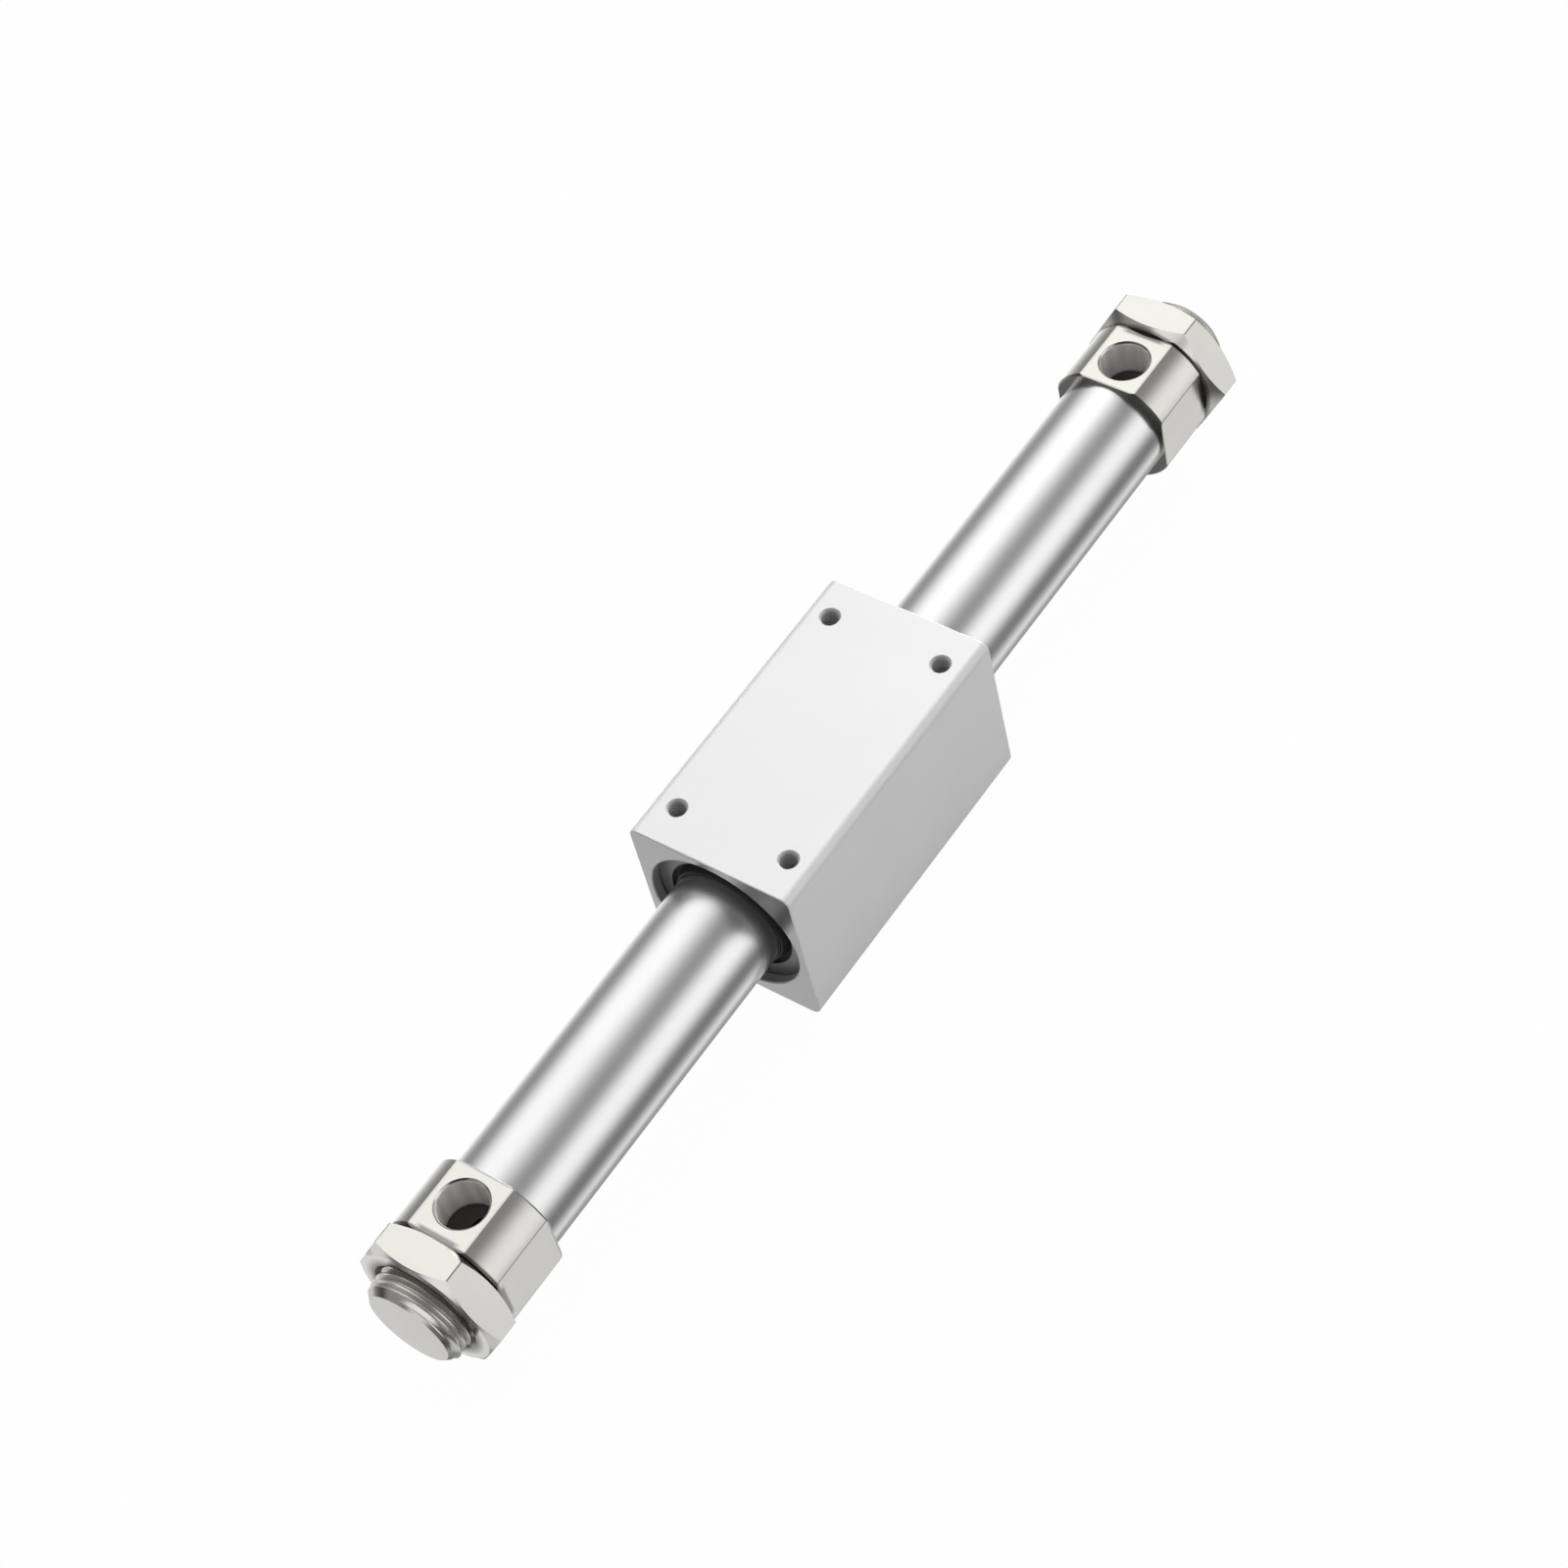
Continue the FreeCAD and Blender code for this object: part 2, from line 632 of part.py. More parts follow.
def make_retaining_ring(side, turn):
    """A flat internal ring with two lugs at its gap, which lies at the bottom."""
    body = new_body("retaining_ring_" + side, turn)
    outside = f"({retainer_groove} - {S['slip']})"
    inside = f"({outside} - {S['retainer_width']})"
    gap = f"({S['retainer_gap']} / 2)"
    lug = S["retainer_lug"]
    lug_across = f"({gap} + {lug})"
    # The lugs stand inwards from the ring's inner edge
    lug_reach = f"({inside} + {S['retainer_lug_inset']})"
    lug_down = f"-sqrt({lug_reach} ^ 2 - {lug_across} ^ 2)"
    band = new_sketch(body, "Band", "YZ_Plane", carrier_end)
    add_circle(band, "0", "0", outside)
    add_circle(band, "0", "0", inside)
    padded(body, "Ring", band, S["retainer_thickness"])
    lugs = new_sketch(body, "Lugs", "YZ_Plane", carrier_end)
    holes = new_sketch(body, "LugHoles", "YZ_Plane", retainer_end)
    for across in (f"-{lug_across}", lug_across):
        add_circle(lugs, across, lug_down, lug)
        add_circle(holes, across, lug_down, f"{S['retainer_lug_hole']} / 2")
    padded(body, "LugPad", lugs, S["retainer_thickness"])
    opening = new_sketch(body, "Gap", "YZ_Plane", retainer_end)
    add_rectangle(opening, f"-{gap}", gap, f"-2 * {outside}", f"-{inside} / 2")
    pocketed(body, "GapCut", opening, S["retainer_thickness"])
    pocketed(body, "LugHoleCut", holes, S["retainer_thickness"])


make_tube()
make_shaft()
make_stack("inner", f"({shaft_outside} + {S['slip']})", piston_outside)
make_stack("outer", carrier_bore, stack_outside)
make_block()
for side, turn in SIDES:
    make_end_cover(side, turn)
    make_mounting_nut(side, turn)
    make_bumper(side, turn)
    gasket_radius = f"({tube_inside} - {S['slip']} - {S['gasket_cord']} / 2)"
    make_round_ring("tube_gasket_" + side, turn, gasket_centre, gasket_radius, S["gasket_cord"])
    lock_angle = f"360 - {S['lock_split']}"
    make_round_ring("tube_lock_ring_" + side, turn, lock_centre, tube_inside, S["lock_wire"], lock_angle)
    make_piston(side, turn)
    make_piston_nut(side, turn)
    make_carrier_set(side, turn)
    make_retaining_ring(side, turn)

doc.recompute()
failed = [o.Name for o in doc.Objects if "Invalid" in o.State or "Error" in o.State]
if failed:
    raise RuntimeError(f"these objects failed: {failed}")

bodies = [o for o in doc.Objects if o.TypeId == "PartDesign::Body"]
for body in bodies:
    shape = body.Shape
    if shape.isNull() or not shape.isValid() or len(shape.Solids) != 1:
        raise RuntimeError(f"{body.Label} is not one valid solid")
for body in bodies:
    body.Shape.exportStep(f"parts/{body.Label}.step")
print(len(bodies), "pieces written")
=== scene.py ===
import json
import math

import bmesh
import bpy
from mathutils import Euler, Matrix, Vector


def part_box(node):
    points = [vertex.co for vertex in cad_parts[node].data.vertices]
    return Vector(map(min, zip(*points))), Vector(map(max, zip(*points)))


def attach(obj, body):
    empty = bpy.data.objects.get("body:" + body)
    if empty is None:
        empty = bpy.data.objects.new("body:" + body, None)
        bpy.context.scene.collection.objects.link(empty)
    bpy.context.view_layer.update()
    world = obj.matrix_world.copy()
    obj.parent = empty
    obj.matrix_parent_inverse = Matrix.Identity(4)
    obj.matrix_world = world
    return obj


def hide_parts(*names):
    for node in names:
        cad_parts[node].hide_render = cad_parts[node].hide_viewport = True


# The rodless cylinder as it looks: turned, milled and threaded pieces in the place of the plain
# solids, their finishes, and a plain white studio. Shapes are made in millimetres, along X.

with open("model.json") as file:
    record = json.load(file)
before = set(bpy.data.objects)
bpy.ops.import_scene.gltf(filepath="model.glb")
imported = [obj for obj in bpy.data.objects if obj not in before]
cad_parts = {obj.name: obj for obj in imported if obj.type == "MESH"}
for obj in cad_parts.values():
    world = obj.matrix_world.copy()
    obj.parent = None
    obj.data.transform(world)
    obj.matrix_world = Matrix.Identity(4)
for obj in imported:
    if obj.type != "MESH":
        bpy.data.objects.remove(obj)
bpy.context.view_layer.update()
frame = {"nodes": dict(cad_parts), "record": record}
nodes = frame["nodes"]
scene = bpy.context.scene

MM = 0.001
HALF_TURN = Matrix.Rotation(math.pi, 4, "Z")


def far_corner(node):
    """The highest corner of a node's box, in millimetres."""
    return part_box(node)[1] / MM


# Sizes in millimetres, read from the solids where their boxes give them

tube_end, tube_outside = far_corner("cylinder_tube").x, far_corner("cylinder_tube").z
tube_inside = tube_outside - 1.4
nose_end, cover_flat = far_corner("end_cover_right").x, far_corner("end_cover_right").z
nose_radius, nose_chamfer = 10.0, 1.5
cover_face = tube_end - 1.0
cover_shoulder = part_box("mounting_nut_right")[0].x / MM
cover_rim = 13.55
lock_near, lock_far = 99.38, 100.62
port_centre, port_radius = cover_face + 7.0, 4.86
nut_end = far_corner("mounting_nut_right").x
nut_flat = far_corner("mounting_nut_right").z
block_half, block_side = far_corner("slider_block").x, far_corner("slider_block").z
recess_radius = 16.3
groove_near, groove_far, groove_radius = 29.6, 30.9, 16.97
hole_along, hole_across = 25.0, 12.5


# Shaping

def lathe(chain, steps=192, closed=True):
    """Points (along X, radius) turned about X. An open chain starts and ends on the axis."""
    bm = bmesh.new()
    points = [bm.verts.new((x, 0, radius)) for x, radius in chain]
    edges = [bm.edges.new(pair) for pair in zip(points, points[1:])]
    if closed:
        edges.append(bm.edges.new((points[-1], points[0])))
    bmesh.ops.spin(
        bm, geom=points + edges, cent=(0, 0, 0), axis=(1, 0, 0),
        angle=math.tau, steps=steps, use_merge=True,
    )
    bmesh.ops.remove_doubles(bm, verts=bm.verts, dist=1e-4)
    bmesh.ops.recalc_face_normals(bm, faces=bm.faces)
    return bm


def helix(section, pitch, start, turns, steps=96):
    """A closed section of (along X, radius) points swept along a right-hand screw about X."""
    bm = bmesh.new()
    ring = [bm.verts.new((start + x, 0, radius)) for x, radius in section]
    face = bm.faces.new(ring)
    bmesh.ops.spin(
        bm, geom=[face] + ring + list(face.edges), cent=(0, 0, 0), axis=(1, 0, 0),
        dvec=(pitch / steps, 0, 0), angle=math.tau * turns, steps=round(steps * turns), use_merge=False,
    )
    bmesh.ops.recalc_face_normals(bm, faces=bm.faces)
    return bm


def slice_off(bm, point, normal):
    """Cuts away what lies beyond a plane and closes the cut with one flat face."""
    geometry = bm.verts[:] + bm.edges[:] + bm.faces[:]
    cut = bmesh.ops.bisect_plane(
        bm, geom=geometry, dist=1e-5, plane_co=point, plane_no=normal, clear_outer=True,
    )
    rim = [e for e in cut["geom_cut"] if isinstance(e, bmesh.types.BMEdge)]
    bmesh.ops.edgenet_fill(bm, edges=rim)


def ease(bm, edges, width, segments=2):
    """A small bevel along edges."""
    bmesh.ops.bevel(
        bm, geom=edges, offset=width, offset_type="OFFSET", segments=segments, profile=0.5,
        affect="EDGES", material=-1, clamp_overlap=True,
    )


def sharp_edges(bm, degrees, keep):
    """The edges that turn by more than an angle and pass a test on their middle and themselves."""
    limit = math.radians(degrees)
    return [
        e for e in bm.edges
        if e.calc_face_angle(0) > limit and keep((e.verts[0].co + e.verts[1].co) / 2, e)
    ]


def as_object(bm, name):
    mesh = bpy.data.meshes.new(name)
    bm.to_mesh(mesh)
    bm.free()
    obj = bpy.data.objects.new(name, mesh)
    scene.collection.objects.link(obj)
    return obj


def carve(bm, *tools):
    """Takes each tool away from a shape in turn, exactly, and returns what is left."""
    body = as_object(bm, "carved")
    for tool in tools:
        cutter = as_object(tool, "cutter")
        boolean = body.modifiers.new("Cut", "BOOLEAN")
        boolean.operation, boolean.solver, boolean.object = "DIFFERENCE", "EXACT", cutter
        done = body.evaluated_get(bpy.context.evaluated_depsgraph_get())
        old, body.data = body.data, bpy.data.meshes.new_from_object(done)
        body.modifiers.clear()
        bpy.data.objects.remove(cutter)
        bpy.data.meshes.remove(old)
    result = bmesh.new()
    result.from_mesh(body.data)
    bpy.data.objects.remove(body)
    bmesh.ops.remove_doubles(result, verts=result.verts, dist=2e-4)
    bmesh.ops.dissolve_degenerate(result, edges=result.edges, dist=1e-4)
    return result


def upright(bm, place):
    """Stands a shape made along X on end, along Z, at a place."""
    turn = Matrix.Translation(place) @ Matrix.Rotation(-math.pi / 2, 4, "Y")
    bmesh.ops.transform(bm, matrix=turn, verts=bm.verts)
    return bm


def add_piece(bm, name, body, material, node, sharp=32.0):
    """Makes a shape a piece of the object: in metres, smooth between its sharp edges."""
    bmesh.ops.scale(bm, vec=(MM, MM, MM), verts=bm.verts)
    obj = as_object(bm, name)
    obj.data.polygons.foreach_set("use_smooth", [True] * len(obj.data.polygons))
    obj.data.set_sharp_from_angle(angle=math.radians(sharp))
    weighted = obj.modifiers.new("Normals", "WEIGHTED_NORMAL")
    weighted.keep_sharp = True
    obj.data.materials.append(material)
    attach(obj, body)
    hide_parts(node)
    return obj


def both_ends(make, name, body, material, node, sharp=32.0):
    """The right-hand piece, and its twin on the left turned half round."""
    shape = make()
    twin = shape.copy()
    bmesh.ops.transform(twin, matrix=HALF_TURN, verts=twin.verts)
    add_piece(shape, name + "_right", body, material, node + "_right", sharp)
    add_piece(twin, name + "_left", body, material, node + "_left", sharp)


# Node trees

def new_material(name, colour, metallic, roughness):
    material = bpy.data.materials.new(name)
    material.use_nodes = True
    shader = material.node_tree.nodes["Principled BSDF"]
    shader.inputs["Base Color"].default_value = (*colour, 1)
    shader.inputs["Metallic"].default_value = metallic
    shader.inputs["Roughness"].default_value = roughness
    return material, material.node_tree, shader


def add_node(tree, kind, inputs=(), **settings):
    """A node with its settings, and its inputs given as values or as sockets to link."""
    node = tree.nodes.new(kind)
    for key, value in settings.items():
        setattr(node, key, value)
    for key, value in dict(inputs).items():
        if isinstance(value, bpy.types.NodeSocket):
            tree.links.new(value, node.inputs[key])
        else:
            node.inputs[key].default_value = value
    return node


def maths(tree, operation, *values):
    return add_node(tree, "ShaderNodeMath", enumerate(values), operation=operation).outputs[0]


def times(tree, *values):
    """The product of values, or where several masks all hold."""
    product = values[0]
    for value in values[1:]:
        product = maths(tree, "MULTIPLY", product, value)
    return product


def most(tree, *values):
    """The greatest of several values."""
    greatest = values[0]
    for value in values[1:]:
        greatest = maths(tree, "MAXIMUM", greatest, value)
    return greatest


def distance(tree, one, other):
    """How far two offsets at right angles lead."""
    return maths(tree, "SQRT", maths(tree, "ADD", times(tree, one, one), times(tree, other, other)))


def new_group(name, inputs, outputs):
    """A shader node group with named float or vector sockets."""
    group = bpy.data.node_groups.new(name, "ShaderNodeTree")
    for label, kind in inputs:
        group.interface.new_socket(label, in_out="INPUT", socket_type=kind)
    for label, kind in outputs:
        group.interface.new_socket(label, in_out="OUTPUT", socket_type=kind)
    return group, group.nodes.new("NodeGroupInput").outputs, group.nodes.new("NodeGroupOutput").inputs


def make_lathe_marks():
    """Fine rings left by turning: they follow the place along X and the distance from the axis."""
    group, given, out = new_group(
        "turning_marks",
        [("Rings", "NodeSocketFloat"), ("Along", "NodeSocketFloat"), ("Around", "NodeSocketFloat")],
        [("Mark", "NodeSocketFloat")],
    )
    place = add_node(group, "ShaderNodeTexCoord").outputs["Object"]
    split = add_node(group, "ShaderNodeSeparateXYZ", {"Vector": place}).outputs
    radius = distance(group, split[1], split[2])
    angle = maths(group, "ARCTAN2", split[2], split[1])
    point = add_node(
        group, "ShaderNodeCombineXYZ",
        {
            0: times(group, split[0], given["Along"]),
            1: times(group, radius, given["Rings"]),
            2: times(group, angle, given["Around"]),
        },
    ).outputs[0]
    noise = add_node(
        group, "ShaderNodeTexNoise", {"Vector": point, "Scale": 1.0, "Detail": 4.0, "Roughness": 0.6},
    )
    group.links.new(noise.outputs["Fac"], out["Mark"])
    return group


def make_grain():
    """Grain drawn out along one axis, as brushing, drawing and milling leave it."""
    group, given, out = new_group(
        "drawn_grain",
        [("Stretch", "NodeSocketVector"), ("Scale", "NodeSocketFloat")],
        [("Grain", "NodeSocketFloat")],
    )
    place = add_node(group, "ShaderNodeTexCoord").outputs["Object"]
    mapping = add_node(group, "ShaderNodeMapping", {"Vector": place})
    group.links.new(given["Stretch"], mapping.inputs["Scale"])
    noise = add_node(
        group, "ShaderNodeTexNoise", {"Vector": mapping.outputs[0], "Detail": 5.0, "Roughness": 0.65},
    )
    group.links.new(given["Scale"], noise.inputs["Scale"])
    group.links.new(noise.outputs["Fac"], out["Grain"])
    return group


def make_clouds():
    """Broad soft patches, for the small changes of tone in a plated or rubbed surface."""
    group, given, out = new_group(
        "soft_patches", [("Scale", "NodeSocketFloat")], [("Patch", "NodeSocketFloat")],
    )
    place = add_node(group, "ShaderNodeTexCoord").outputs["Object"]
    noise = add_node(group, "ShaderNodeTexNoise", {"Vector": place, "Detail": 3.0, "Roughness": 0.5})
    group.links.new(given["Scale"], noise.inputs["Scale"])
    group.links.new(noise.outputs["Fac"], out["Patch"])
    return group


def make_places():
    """Where a point lies, in millimetres and alike at both ends, and its place about an upright axis."""
    group, given, out = new_group(
        "places",
        [("Axis Along", "NodeSocketFloat"), ("Axis Across", "NodeSocketFloat")],
        [(label, "NodeSocketFloat") for label in ("Along", "Height", "Radius", "Off Axis", "Around Axis")],
    )
    place = add_node(group, "ShaderNodeTexCoord").outputs["Object"]
    scaled = add_node(
        group, "ShaderNodeVectorMath", {0: place, 1: (1 / MM, 1 / MM, 1 / MM)}, operation="MULTIPLY",
    ).outputs[0]
    split = add_node(group, "ShaderNodeSeparateXYZ", {0: scaled}).outputs
    along, across = maths(group, "ABSOLUTE", split[0]), maths(group, "ABSOLUTE", split[1])
    off_along = maths(group, "SUBTRACT", along, given["Axis Along"])
    off_across = maths(group, "SUBTRACT", across, given["Axis Across"])
    for label, socket in (
        ("Along", along), ("Height", split[2]), ("Radius", distance(group, split[1], split[2])),
        ("Off Axis", distance(group, off_along, off_across)),
        ("Around Axis", maths(group, "ARCTAN2", off_across, off_along)),
    ):
        group.links.new(socket, out[label])
    return group


TURNING = make_lathe_marks()
GRAIN = make_grain()
PATCHES = make_clouds()
PLACES = make_places()


def use_group(tree, group, **values):
    """Adds a group with its values set, and gives its first output."""
    node = tree.nodes.new("ShaderNodeGroup")
    node.node_tree = group
    for key, value in values.items():
        node.inputs[key].default_value = value
    return node.outputs[0]


def use_places(tree, along=0.0, across=0.0):
    """Adds the group of places, about an upright axis, and gives its outputs."""
    node = tree.nodes.new("ShaderNodeGroup")
    node.node_tree = PLACES
    node.inputs["Axis Along"].default_value = along
    node.inputs["Axis Across"].default_value = across
    return node.outputs


def rise(tree, value, start, end):
    """A mask that goes from 0 at the start to 1 at the end."""
    return add_node(
        tree, "ShaderNodeMapRange", {"Value": value, "From Min": start, "From Max": end},
    ).outputs[0]


def cover_with(tree, colour, mask, other):
    """A colour that gives way to another one where a mask holds."""
    mix = add_node(tree, "ShaderNodeMix", data_type="RGBA")
    tree.links.new(mask, mix.inputs[0])
    tree.links.new(colour, mix.inputs[6])
    mix.inputs[7].default_value = (*other, 1)
    return mix.outputs[2]


def between(tree, value, low, high):
    """Spreads a mask's middle range over low to high."""
    return add_node(
        tree, "ShaderNodeMapRange",
        {"Value": value, "From Min": 0.3, "From Max": 0.7, "To Min": low, "To Max": high},
    ).outputs[0]


def tint(tree, value, dark, light):
    """A colour between two, by a mask."""
    mix = add_node(tree, "ShaderNodeMix", data_type="RGBA")
    tree.links.new(between(tree, value, 0.0, 1.0), mix.inputs[0])
    mix.inputs[6].default_value = (*dark, 1)
    mix.inputs[7].default_value = (*light, 1)
    return mix.outputs[2]


def bump(tree, shader, height, strength, relief):
    node = add_node(tree, "ShaderNodeBump", {"Height": height, "Strength": strength, "Distance": relief})
    tree.links.new(node.outputs[0], shader.inputs["Normal"])


def make_tube_finish():
    material, tree, shader = new_material("stainless_tube", (0.8, 0.8, 0.81), 1.0, 0.26)
    grain = use_group(tree, GRAIN, Stretch=(60.0, 120.0, 120.0), Scale=12.0)
    patch = use_group(tree, PATCHES, Scale=60.0)
    tree.links.new(tint(tree, patch, (0.79, 0.79, 0.795), (0.81, 0.81, 0.815)), shader.inputs["Base Color"])
    tree.links.new(between(tree, grain, 0.25, 0.27), shader.inputs["Roughness"])
    bump(tree, shader, grain, 0.05, 0.00002)
    return material


# A near-black colour painted as shade in seams, thread roots, the port's floor and about the nut's mouth
PAINTED_SHADE = (0.05, 0.044, 0.036)
MATT_NICKEL = (0.95, 0.935, 0.91)
# A dark grey painted as shade inside the block's bore, behind its grooves and in its holes
PAINTED_RECESS_SHADE = (0.12, 0.12, 0.12)


def cover_masks(tree):
    """Where shade is painted dark on the cover: on the port's floor and in faint bands on its wall, in the
    nose thread's roots, along the seam and foot by the nut, on the collar by the tube and a little on the
    turned corners; and where its port and its thread are matt.
    """
    place = use_places(tree, port_centre)
    along, height, radius = place["Along"], place["Height"], place["Radius"]
    port = times(
        tree,
        rise(tree, place["Off Axis"], port_radius + 0.14, port_radius + 0.04),
        rise(tree, height, 0.2, 0.4),
    )
    # Painted shade: the port's floor goes dark, and its wall gets faint dark bands
    port_floor = times(tree, port, rise(tree, height, 4.6, 3.6))
    streaks = maths(tree, "ADD", maths(tree, "SINE", times(tree, place["Around Axis"], 11.0)), 1.0)
    on_nose = rise(tree, along, cover_shoulder + 0.3, cover_shoulder + 0.4)
    off_nose = rise(tree, radius, tube_outside + 0.2, tube_outside + 0.4)
    chamfer_start = nose_end - nose_chamfer
    thread = times(
        tree,
        rise(tree, radius, nose_radius - 0.02, nose_radius - 0.2),
        on_nose,
        rise(tree, along, chamfer_start + 0.15, chamfer_start - 0.15),
    )
    # Painted shade in the thread's roots, in the seam and foot before the nut, on the collar by the tube and
    # lightly on the turned corners
    root = times(tree, rise(tree, radius, nose_radius - 0.1, nose_radius - 0.8), on_nose)
    seam = times(tree, rise(tree, along, cover_shoulder - 0.75, cover_shoulder - 0.35), off_nose)
    foot = times(
        tree,
        rise(tree, along, cover_shoulder - 1.5, cover_shoulder - 1.0),
        rise(tree, radius, cover_rim - 0.55, cover_rim - 1.05),
        off_nose,
    )
    collar = rise(tree, along, cover_face + 0.5, cover_face + 0.3)
    turned = rise(tree, radius, cover_rim - 0.25, cover_rim - 0.1)
    shade = most(
        tree, port_floor, times(tree, root, 0.12), times(tree, seam, 0.75), times(tree, foot, 0.6),
        times(tree, collar, 0.3), times(tree, turned, 0.1), times(tree, port, streaks, 0.07),
    )
    return shade, most(tree, port, times(tree, thread, 0.4))


def nut_masks(tree):
    """Where shade is painted dark on the nut: in its thread, about its mouth and in the seam behind it."""
    place = use_places(tree)
    seam = rise(tree, place["Along"], cover_shoulder + 0.45, cover_shoulder + 0.15)
    thread = rise(tree, place["Radius"], nose_radius + 1.0, nose_radius + 0.6)
    mouth = rise(tree, place["Radius"], nose_radius + 2.8, nose_radius + 1.2)
    # Painted shade, darkest in the thread and about the mouth
    return most(tree, times(tree, thread, 0.9), times(tree, mouth, 0.85), times(tree, seam, 0.7)), None


def make_nickel_finish(name, dark, light, low, high, masks):
    """Plated and turned: two near tones and fine rings, with painted shade and matt walls by their masks."""
    material, tree, shader = new_material(name, light, 1.0, high)
    mark = use_group(tree, TURNING, Rings=9000.0, Along=9000.0, Around=0.6)
    patch = use_group(tree, PATCHES, Scale=120.0)
    shade, matt = masks(tree)
    colour = tint(tree, patch, dark, light)
    roughness = between(tree, mark, low, high)
    if matt:
        colour = cover_with(tree, colour, matt, MATT_NICKEL)
        roughness = maths(tree, "ADD", roughness, times(tree, matt, 0.15))
        plated = maths(tree, "SUBTRACT", 1.0, times(tree, matt, 0.88))
        tree.links.new(plated, shader.inputs["Metallic"])
    # Painted shade: the base colour goes to near black where the shade mask holds
    tree.links.new(cover_with(tree, colour, shade, PAINTED_SHADE), shader.inputs["Base Color"])
    tree.links.new(roughness, shader.inputs["Roughness"])
    bump(tree, shader, mark, 0.03, 0.00002)
    return material


def make_block_finish():
    material, tree, shader = new_material("block_aluminium", (0.93, 0.93, 0.935), 0.4, 0.55)
    grain = use_group(tree, GRAIN, Stretch=(1.0, 1.0, 1.0), Scale=5200.0)
    patch = use_group(tree, PATCHES, Scale=45.0)
    place = use_places(tree, hole_along, hole_across)
    along, radius = place["Along"], place["Radius"]
    # Painted shade: the bored recesses are painted darker than the milled outside, most of all behind their
    # grooves, and so are the four holes
    hole = times(tree, rise(tree, place["Off Axis"], 2.1, 1.9), rise(tree, place["Height"], 0.0, 1.0))
    wall = rise(tree, radius, recess_radius + 0.2, recess_radius + 0.05)
    deep = times(
        tree,
        rise(tree, along, groove_far + 0.2, groove_far),
        rise(tree, radius, groove_radius + 0.13, groove_radius + 0.03),
    )
    inside = most(tree, times(tree, wall, 0.55), deep, times(tree, hole, 0.35))
    milled = tint(tree, patch, (0.905, 0.905, 0.91), (0.925, 0.925, 0.93))
    tree.links.new(cover_with(tree, milled, inside, PAINTED_RECESS_SHADE), shader.inputs["Base Color"])
    # The ends are machined, and shine more than the drawn sides
    end = rise(tree, along, block_half - 0.05, block_half - 0.01)
    dullness = maths(tree, "SUBTRACT", 1.0, times(tree, end, 0.6))
    tree.links.new(times(tree, between(tree, grain, 0.5, 0.56), dullness), shader.inputs["Roughness"])
    tree.links.new(maths(tree, "ADD", times(tree, end, 0.55), 0.4), shader.inputs["Metallic"])
    bump(tree, shader, grain, 0.12, 0.00004)
    return material


def make_dull_finish(name, dark, light, metallic, low, high, scale, relief):
    """Rubber, resin, felt and plain metal inside: a fine grain and two near tones."""
    material, tree, shader = new_material(name, light, metallic, high)
    grain = use_group(tree, GRAIN, Stretch=(1.0, 1.0, 1.0), Scale=scale)
    tree.links.new(tint(tree, grain, dark, light), shader.inputs["Base Color"])
    tree.links.new(between(tree, grain, low, high), shader.inputs["Roughness"])
    bump(tree, shader, grain, 0.3, relief)
    return material


finishes = {
    "stainless_tube": make_tube_finish(),
    "nickel_cover": make_nickel_finish(
        "nickel_cover", (0.70, 0.685, 0.645), (0.73, 0.715, 0.675), 0.19, 0.23, cover_masks,
    ),
    "nickel_nut": make_nickel_finish(
        "nickel_nut", (0.69, 0.675, 0.635), (0.72, 0.705, 0.665), 0.17, 0.21, nut_masks,
    ),
    "block_aluminium": make_block_finish(),
}
# Dark and light tone, metallic, least and most roughness, fineness of the grain, relief in metres
DULL_FINISHES = {
    "nitrile_rubber": ((0.034, 0.034, 0.035), (0.046, 0.046, 0.047), 0.0, 0.45, 0.6, 2500, 0.00003),
    "spring_steel": ((0.3, 0.3, 0.3), (0.42, 0.42, 0.42), 1.0, 0.3, 0.45, 2500, 0.00002),
    "carrier_aluminium": ((0.2, 0.2, 0.21), (0.26, 0.26, 0.27), 1.0, 0.35, 0.5, 2500, 0.00002),
    "stainless_rod": ((0.6, 0.6, 0.6), (0.66, 0.66, 0.66), 1.0, 0.2, 0.3, 2500, 0.00001),
    "piston_aluminium": ((0.6, 0.6, 0.61), (0.68, 0.68, 0.69), 1.0, 0.3, 0.4, 2500, 0.00002),
    "zinc_steel": ((0.58, 0.59, 0.6), (0.68, 0.69, 0.7), 1.0, 0.25, 0.4, 1800, 0.00002),
    "yoke_steel": ((0.5, 0.5, 0.49), (0.58, 0.58, 0.57), 1.0, 0.3, 0.45, 1800, 0.00002),
    "magnet": ((0.5, 0.5, 0.49), (0.6, 0.59, 0.57), 1.0, 0.2, 0.35, 1500, 0.00002),
    "urethane": ((0.66, 0.48, 0.2), (0.74, 0.56, 0.27), 0.0, 0.4, 0.5, 2000, 0.00002),
    "bearing_resin": ((0.66, 0.62, 0.5), (0.74, 0.7, 0.58), 0.0, 0.5, 0.6, 2500, 0.00002),
    "felt": ((0.55, 0.52, 0.43), (0.75, 0.72, 0.62), 0.0, 0.85, 0.95, 3500, 0.0001),
}
for name, settings in DULL_FINISHES.items():
    finishes[name] = make_dull_finish(name, *settings)


# Turned and milled pieces

